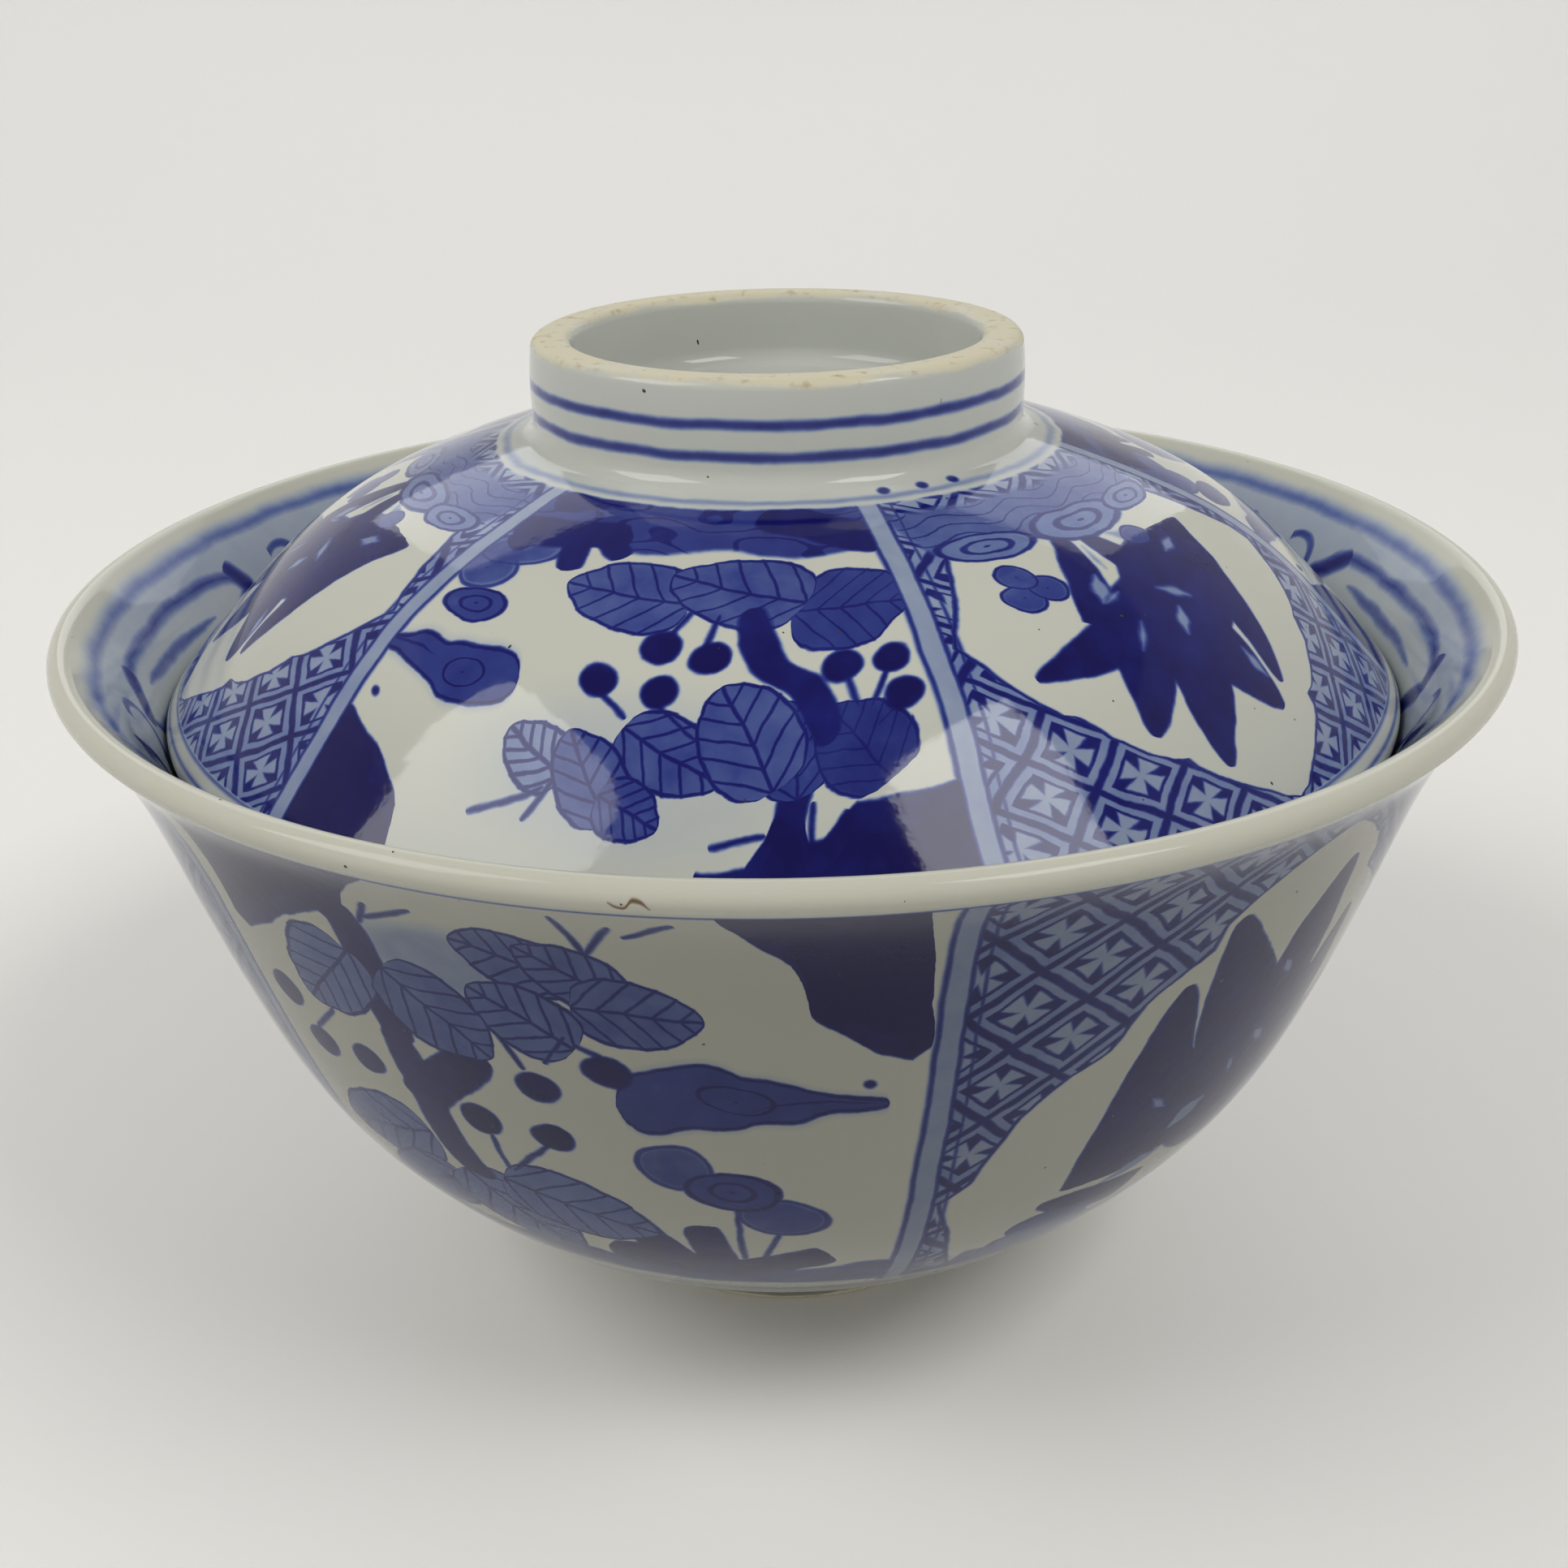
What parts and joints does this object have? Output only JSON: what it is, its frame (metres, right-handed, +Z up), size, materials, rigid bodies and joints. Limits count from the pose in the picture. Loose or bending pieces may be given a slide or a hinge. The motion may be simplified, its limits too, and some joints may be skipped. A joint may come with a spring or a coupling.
{
  "type": "lidded rice bowl",
  "caption": "Round footed porcelain bowl with a flared lip and a domed lift-off lid that drops inside the mouth and is lifted by a ring.",
  "frame": {"origin": "centre of the foot ring's resting plane", "axes": "+Z up along the turning axis of the bowl and lid; +X and +Y are equivalent"},
  "size_m": [0.118, 0.118, 0.082],
  "materials": {
    "bowl_glaze": "clear gloss glaze over cobalt-blue painting on white porcelain, with an unglazed foot edge",
    "lid_glaze": "clear gloss glaze over cobalt-blue painting on white porcelain, with an unglazed ring edge"
  },
  "bodies": {
    "bowl": {"bowl": "bowl_glaze"},
    "lid": {"lid": "lid_glaze"}
  },
  "joints": [
    {"name": "lid_lift", "type": "slide", "parent": "bowl", "child": "lid", "axis": [0, 0, 1], "range_m": [0, 0.08]}
  ]
}
